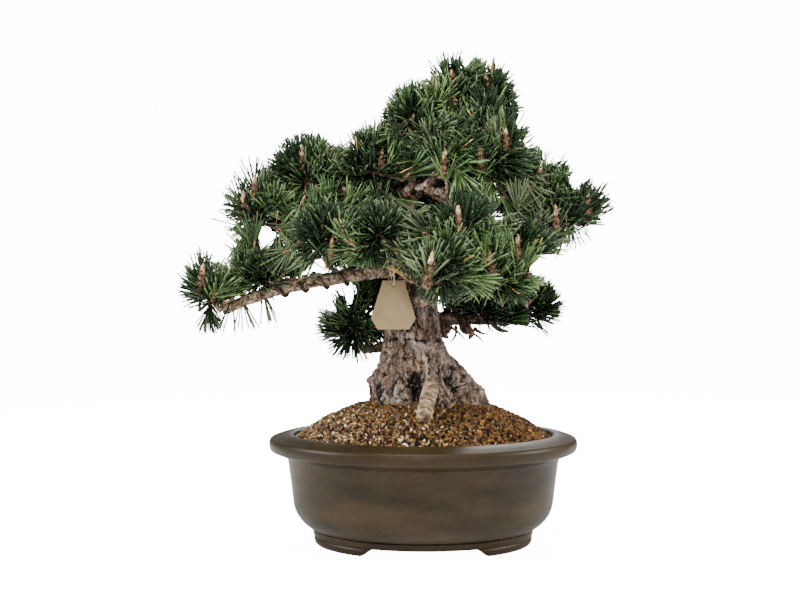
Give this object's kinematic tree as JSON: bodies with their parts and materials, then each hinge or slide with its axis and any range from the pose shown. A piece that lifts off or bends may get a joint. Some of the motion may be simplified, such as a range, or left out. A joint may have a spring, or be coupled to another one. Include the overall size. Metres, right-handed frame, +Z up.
{
  "type": "japanese black pine bonsai",
  "caption": "Short-needled pine grown as a bonsai: flaring flaky trunk, wired low left bough, layered needle masses, granular soil, oval footed stoneware pot and a bare paper tag.",
  "frame": {"origin": "middle of the whole part's outline in plan, on the ground that the pot's feet stand on", "axes": "+Z up; +X to the viewer's right and +Y to the back when the bonsai is seen from its front, where the pale root and the tag are"},
  "size_m": [0.426, 0.235, 0.4847],
  "materials": {
    "clay": "unglazed stoneware, grey brown, satin",
    "soil": "baked clay granules, bark bits and grit, red brown with cream and grey grains",
    "bark": "flaky grey brown pine bark with dark cracks",
    "root": "pale root skin with fine rings",
    "limb": "rough brown bough bark",
    "needles": "stiff dark green pine needles",
    "wire": "dark brown annealed bonsai wire",
    "paper": "plain kraft card, uncoated",
    "string": "pale natural twine"
  },
  "bodies": {
    "root": {"pot": "clay", "soil": "soil", "trunk": "bark", "front_root": "root", "bough_left_low": "limb", "bough_left_upper": "limb", "bough_left_front": "limb", "bough_left_back": "limb", "bough_top_left": "limb", "bough_upper_right": "limb", "bough_right_mid": "limb", "bough_right_shoulder": "limb", "bough_right_low": "limb", "bough_right_front": "limb", "bough_right_front_low": "limb", "bough_front": "limb", "bough_back": "limb", "bough_back_right_low": "limb", "bough_back_left": "limb", "bough_back_right": "limb", "wire_left_low": "wire", "wire_left_upper": "wire", "tag": "paper", "tag_string": "string", "foliage_left_tip": "needles", "foliage_left_low": "needles", "foliage_left_upper_tip": "needles", "foliage_left_upper": "needles", "foliage_left_front": "needles", "foliage_centre_front": "needles", "foliage_upper_left": "needles", "foliage_top_left": "needles", "foliage_apex": "needles", "foliage_apex_right": "needles", "foliage_upper_front": "needles", "foliage_upper_right": "needles", "foliage_right_shoulder": "needles", "foliage_right_far": "needles", "foliage_right_mid": "needles", "foliage_right_front": "needles", "foliage_right_front_low": "needles", "foliage_front": "needles", "foliage_right_low": "needles", "foliage_right_low_tip": "needles", "foliage_left_back_low": "needles", "foliage_left_back": "needles", "foliage_back_left": "needles", "foliage_back_left_low": "needles", "foliage_back_low": "needles", "foliage_back_right_low": "needles", "foliage_back_mid": "needles", "foliage_back_right": "needles", "foliage_back_centre": "needles", "foliage_back_top": "needles"}
  },
  "joints": []
}
